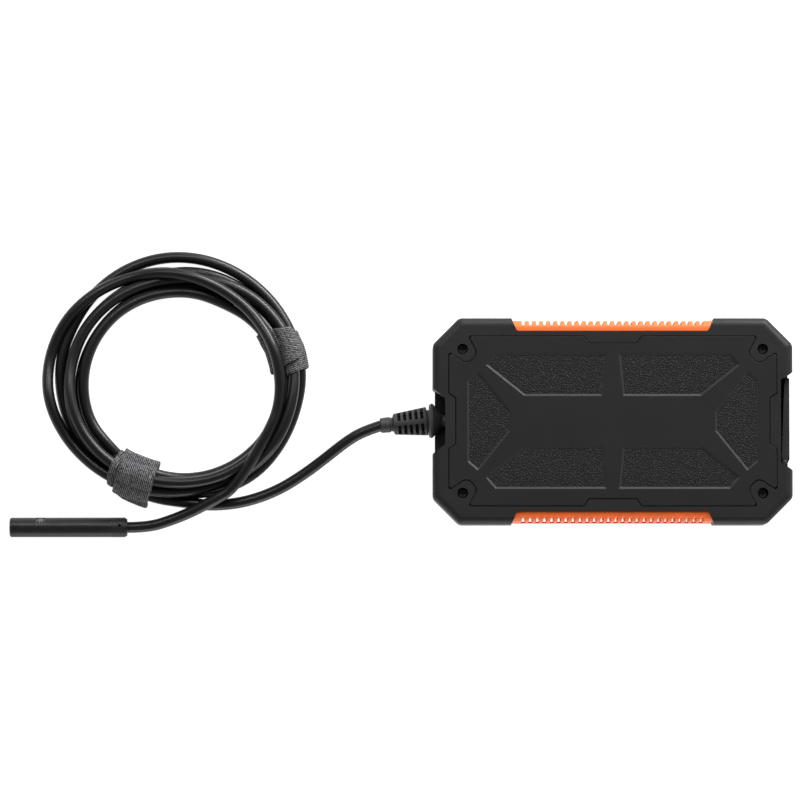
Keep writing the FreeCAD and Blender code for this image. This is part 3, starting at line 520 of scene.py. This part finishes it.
def strap_fabric():
    """Hook-and-loop tape: fine ribs along the tape, knotted by the rows of its loops."""
    rib_pitch, row_pitch = 0.00078, 0.00092
    f = Finish("strap_fabric", (0.009, 0.0091, 0.0096), 0.8, Specular_IOR_Level=0.3)
    f.bsdf.inputs["Sheen Weight"].default_value = 0.12
    f.bsdf.inputs["Sheen Roughness"].default_value = 0.45
    f.coords = f.nodes.new("ShaderNodeTexCoord").outputs["UV"]
    u, v = f.axis(0), f.axis(1)
    drift = f.product(f.noise(0.008), 1.2)
    rib = f.math("SINE", f.math("ADD", f.product(u, 2 * math.pi / rib_pitch), drift))
    row = f.math("SINE", f.math("ADD", f.product(v, 2 * math.pi / row_pitch), drift))
    loops = f.cells(0.0006)
    fuzz = f.noise(0.0007, 4.0)
    rib = f.ramp(rib, -0.25, 0.55)
    f.paint(f.product(rib, 0.95), (0.21, 0.212, 0.218))
    f.paint(f.product(f.ramp(row, 0.0, 1.0), 0.45), (0.025, 0.025, 0.027))
    f.paint(f.product(f.ramp(loops, 0.45, 0.85), 0.7), (0.012, 0.012, 0.013))
    f.paint(f.product(f.ramp(fuzz, 0.56, 0.72), 0.6), (0.32, 0.32, 0.33))
    f.relief(rib, 0.0003)
    f.relief(f.math("ADD", f.product(f.ramp(row, -1.0, 1.0), 0.4), loops), 0.00014)
    return f.relief(fuzz, 0.0001).mat


MATERIALS = {
    "case_plastic": case_plastic(),
    "panel_plastic": panel_plastic(),
    "grip_rubber": grip_rubber(),
    "dark_rubber": soft_rubber(),
    "boot_rubber": boot_rubber(),
    "window_glass": gloss("window_glass", (0.006, 0.006, 0.007), 0.05, Coat_Weight=1.0),
    "lcd_glass": gloss("lcd_glass", (0.004, 0.004, 0.005), 0.1),
    "white_plastic": gloss("white_plastic", (0.75, 0.75, 0.72), 0.4),
    "circuit_board": circuit_board(),
    "chip_plastic": chip_plastic(),
    "tin_plate": steel("tin_plate", (0.62, 0.62, 0.6)),
    "screw_steel": steel("screw_steel", (0.5, 0.5, 0.51)),
    "black_screws": black_screw(),
    "battery_foil": foil(),
    "button_rubber": soft_rubber(),
    "cable_jacket": cable_jacket(),
    "strap_fabric": strap_fabric(),
    "probe_metal": probe_metal(),
    "lens_glass": gloss("lens_glass", (0.01, 0.011, 0.013), 0.1, Coat_Weight=0.6),
    "led_resin": gloss("led_resin", (0.9, 0.8, 0.35), 0.3),
}

# Each CAD node takes the finish of its slot
for part in frame["record"]["subparts"]:
    node = frame["nodes"].get(part["node"])
    if node is None:
        continue
    slots = node.data.materials
    if not slots:
        slots.append(None)
    for index in range(len(slots)):
        slots[index] = MATERIALS[part["material_slot"]]
cord.data.materials.append(MATERIALS["cable_jacket"])
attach(cord, "main")


# ---- hook-and-loop straps -----------------------------------------------

RING_POINTS = 96
BAND_ROWS, BAND_COLUMNS = 260, 22
BESIDE = 4.5  # how far past the strap's edges its rings reach
GAP = 0.08  # between the cable and the strap


def add_mesh(name, vertices, faces, slot, uvs):
    mesh = bpy.data.meshes.new(name)
    mesh.from_pydata([tuple(v) for v in vertices], [], faces)
    mesh.update()
    layer = mesh.uv_layers.new(name="UVMap")
    for loop in mesh.loops:
        layer.data[loop.index].uv = uvs[loop.vertex_index]
    for polygon in mesh.polygons:
        polygon.use_smooth = True
    mesh.materials.append(MATERIALS[slot])
    obj = bpy.data.objects.new(name, mesh)
    bpy.context.scene.collection.objects.link(obj)
    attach(obj, "main")
    return obj


def hull_loop(points, count):
    """Convex outline round 2-D points, evenly spaced from the bottom, anticlockwise."""
    pts = sorted(map(tuple, points))
    halves = []
    for run in (pts, pts[::-1]):
        half = []
        for p in run:
            while len(half) > 1 and ((half[-1][0] - half[-2][0]) * (p[1] - half[-2][1])
                                     - (half[-1][1] - half[-2][1]) * (p[0] - half[-2][0])) <= 0:
                half.pop()
            half.append(p)
        halves += half[:-1]
    loop = np.array(halves + halves[:1])
    travel = np.concatenate(([0.0], np.cumsum(np.linalg.norm(np.diff(loop, axis=0), axis=1))))
    middle = (loop[:, 0].min() + loop[:, 0].max()) / 2
    at = np.linspace(0, travel[-1], count * 8, endpoint=False)
    ring = np.column_stack((np.interp(at, travel, loop[:, 0]), np.interp(at, travel, loop[:, 1])))
    low = np.argmin(np.abs(ring[:, 0] - middle) + 10 * (ring[:, 1] - ring[:, 1].min()))
    return np.roll(ring, -low, axis=0)[::8]


def strap_frame(name):
    """The strap's centre, the unit vectors along and across the cables in it, and half its width."""
    cx, cy, degrees, half = STRAPS[name]
    a = math.radians(degrees)
    along = np.array((math.cos(a), math.sin(a)))
    across = np.array((-math.sin(a), math.cos(a)))
    return np.array((cx, cy)), along, across, half


def bundle_sections(name):
    """Where the strapped part of the cable crosses nine planes through the strap: (across, height)."""
    centre, along, across, half = strap_frame(name)
    pts = line / MM
    turned = np.unwrap(np.arctan2(pts[:, 1] - COIL_CENTRE[1], pts[:, 0] - COIL_CENTRE[0]))
    wound = -90 - np.degrees(turned)
    u = (pts[:, :2] - centre) @ along
    v = (pts[:, :2] - centre) @ across
    sections = []
    for at in np.linspace(-half - BESIDE, half + BESIDE, 9):
        cut = np.nonzero((u[:-1] - at) * (u[1:] - at) <= 0)[0]
        found = [(v[k], pts[k, 2]) for k in cut if abs(v[k]) < 17 and wound[k] < UNSTRAPPED]
        sections.append((at, np.array(found)))
    return sections


def band_rings(name):
    """Each plane's place, the outline of the strap's inner face in it, and the outline's outward normals."""
    rings = []
    circle = np.radians(np.arange(0, 360, 7.5))
    for at, found in bundle_sections(name):
        r = CABLE_D / 2 + GAP
        round_pts = [(c[0] + r * math.cos(t), max(c[1] + r * math.sin(t), STRAP_T + 0.05))
                     for c in found for t in circle]
        ring = hull_loop(round_pts, RING_POINTS)
        tangent = np.roll(ring, -1, axis=0) - np.roll(ring, 1, axis=0)
        normal = np.column_stack((tangent[:, 1], -tangent[:, 0]))
        normal /= np.linalg.norm(normal, axis=1)[:, None]
        for _ in range(3):
            normal = (np.roll(normal, 1, axis=0) + 2 * normal + np.roll(normal, -1, axis=0)) / 4
        hollow = np.min(np.linalg.norm(ring[:, None] - found[None], axis=2), axis=1) - r
        dip = np.clip(hollow, 0, 2.0) * 0.85 * (ring[:, 1] > STRAP_T + 0.5)
        rings.append((at, ring - normal * dip[:, None], normal))
    return rings


def make_strap(name, start, end, direction, shift, lean, loose, corner):
    """One strap wound round the bundle from start to end, in turns, outside itself where it overlaps.

    shift is how far the outer wrap moves along the cable, lean the slope of the inner and the outer wrap,
    loose how far the outer one stands off, and corner rounds the free end on each side.
    """
    centre, along, across, half = strap_frame(name)
    rings = band_rings(name)
    places = np.array([ring[0] for ring in rings])
    shapes = np.array([ring[1] for ring in rings])
    normals = np.array([ring[2] for ring in rings])
    middle_ring = shapes[len(shapes) // 2]
    around = float(np.linalg.norm(np.diff(middle_ring, axis=0, append=middle_ring[:1]), axis=1).sum())
    rows, columns = BAND_ROWS, BAND_COLUMNS
    turns = np.linspace(start, end, rows)
    travel = np.abs(turns - start) * around
    overlap = 1.0 + min(start, end) if direction > 0 else max(start, end) - 1.0
    past = (turns - overlap) * direction * around
    lift = np.clip(past / 2.4 + 0.5, 0, 1)
    lift = lift * lift * (3 - 2 * lift)
    slide = np.clip(((turns - start) * direction - 0.45) / 0.55, 0, 1)
    from_end = travel[-1] - travel
    vertices, uvs = [], []
    rng = np.random.default_rng(11)
    wobble = np.cumsum(rng.normal(0, 0.03, rows))
    wobble -= np.linspace(wobble[0], wobble[-1], rows)
    for side in (0, 1):
        for i in range(rows):
            spread = []
            for edge, radius in zip((-1, 1), corner):
                d = max(0.0, 1 - from_end[i] / radius)
                spread.append(edge * (half - radius * (1 - math.sqrt(max(0.0, 1 - d * d)))))
            if spread[0] > spread[1] - 0.4:
                spread[0] = spread[1] - 0.4
            for k in range(columns):
                w = k / (columns - 1)
                u = spread[0] + (spread[1] - spread[0]) * w
                rim = max(0.0, abs(w - 0.5) * 2 - 0.93) / 0.07
                thick = STRAP_T * (1 - 0.5 * rim * rim)
                end_thin = 1 - 0.5 * max(0.0, 1 - min(travel[i], from_end[i]) / 0.5)
                turn = (turns[i] % 1.0) * RING_POINTS
                low = int(turn) % RING_POINTS
                slope = lean[0] + (lean[1] - lean[0]) * slide[i]
                aside = middle_ring[low, 0] - middle_ring[:, 0].mean()
                at_u = u + shift * slide[i] + wobble[i] + slope * aside
                part, following = turn - int(turn), (low + 1) % RING_POINTS
                ring = shapes[:, low] * (1 - part) + shapes[:, following] * part
                out = normals[:, low] * (1 - part) + normals[:, following] * part
                v = np.interp(at_u, places, ring[:, 0])
                z = np.interp(at_u, places, ring[:, 1])
                nv = np.interp(at_u, places, out[:, 0])
                nz = np.interp(at_u, places, out[:, 1])
                middle = 0.06 + STRAP_T / 2 + lift[i] * (STRAP_T + loose)
                reach = middle + (side - 0.5) * thick * end_thin
                v, z = v + nv * reach, max(0.02, z + nz * reach)
                x, y = centre + along * at_u + across * v
                vertices.append((x * MM, y * MM, z * MM))
                uvs.append((u * MM, travel[i] * MM))
    faces = []
    layer = rows * columns

    def quad(a, b, c, d):
        faces.append((a, b, c, d) if direction > 0 else (d, c, b, a))

    for i in range(rows - 1):
        for k in range(columns - 1):
            a = i * columns + k
            b, c, d = a + columns, a + columns + 1, a + 1
            quad(a, b, c, d)
            quad(layer + d, layer + c, layer + b, layer + a)
        for k, flip in ((0, False), (columns - 1, True)):
            a, b = i * columns + k, (i + 1) * columns + k
            edge = (a, a + layer, b + layer, b)
            quad(*(edge[::-1] if flip else edge))
    for i, flip in ((0, True), (rows - 1, False)):
        for k in range(columns - 1):
            a = i * columns + k
            edge = (a, a + layer, a + layer + 1, a + 1)
            quad(*(edge[::-1] if flip else edge))
    band = add_mesh(name + "_band", vertices, faces, "strap_fabric", uvs)
    shell = bmesh.new()
    shell.from_mesh(band.data)
    bmesh.ops.recalc_face_normals(shell, faces=shell.faces)
    shell.to_mesh(band.data)
    shell.free()
    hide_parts(name)
    return band


lower_band = make_strap("lower_strap", 0.12, 1.86, 1, 3.2, (0.25, 0.0), 0.8, (1.5, 1.5))
right_band = make_strap("right_strap", 0.56, -0.66, -1, -3.8, (-0.2, 0.15), 0.4, (2.5, 10.0))

# ---- floor and light ----------------------------------------------------

def make_floor():
    """A nearly white floor that gives its own light, so that it adds little to the edges above it."""
    mesh = bpy.data.meshes.new("floor")
    s = 4.0
    mesh.from_pydata([(-s, -s, 0), (s, -s, 0), (s, s, 0), (-s, s, 0)], [], [(0, 1, 2, 3)])
    floor = bpy.data.objects.new("floor", mesh)
    bpy.context.scene.collection.objects.link(floor)
    f = Finish("floor", (0.3, 0.3, 0.3), 0.9, Specular_IOR_Level=0.0)
    f.vary(0.5, 0.01)
    f.bsdf.inputs["Emission Color"].default_value = (1, 1, 1, 1)
    f.bsdf.inputs["Emission Strength"].default_value = 0.97
    mesh.materials.append(f.mat)


def area_light(name, place, size, power, target=(-0.07, 0.0, 0.0)):
    data = bpy.data.lights.new(name, "AREA")
    data.shape = "RECTANGLE"
    data.size, data.size_y = size
    data.energy = power
    lamp = bpy.data.objects.new(name, data)
    bpy.context.scene.collection.objects.link(lamp)
    lamp.location = place
    lamp.rotation_euler = (Vector(target) - Vector(place)).to_track_quat("-Z", "Y").to_euler()


def make_world():
    """Studio: pale near the horizon, darker overhead."""
    world = bpy.data.worlds.new("studio")
    world.use_nodes = True
    nodes, links = world.node_tree.nodes, world.node_tree.links
    sky = nodes["Background"]
    coord = nodes.new("ShaderNodeTexCoord")
    split = nodes.new("ShaderNodeSeparateXYZ")
    links.new(coord.outputs["Generated"], split.inputs[0])
    height = nodes.new("ShaderNodeMapRange")
    height.inputs["From Min"].default_value = 0.15
    height.inputs["From Max"].default_value = 0.95
    height.inputs["To Min"].default_value = 0.7
    height.inputs["To Max"].default_value = 0.1
    links.new(split.outputs[2], height.inputs["Value"])
    links.new(height.outputs["Result"], sky.inputs["Strength"])
    sky.inputs["Color"].default_value = (1, 1, 1, 1)
    bpy.context.scene.world = world


make_floor()
make_world()
area_light("key", (0.55, 1.1, 0.62), (0.9, 0.28), 30.0)
area_light("front", (0.15, -1.1, 0.1), (0.8, 0.2), 4.5)
area_light("top", (-0.1, 0.55, 0.85), (1.3, 0.1), 5.0)
bpy.context.scene.view_settings.view_transform = "Standard"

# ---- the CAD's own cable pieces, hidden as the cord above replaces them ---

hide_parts("cable_lead", "cable_coil", "cable_tail")
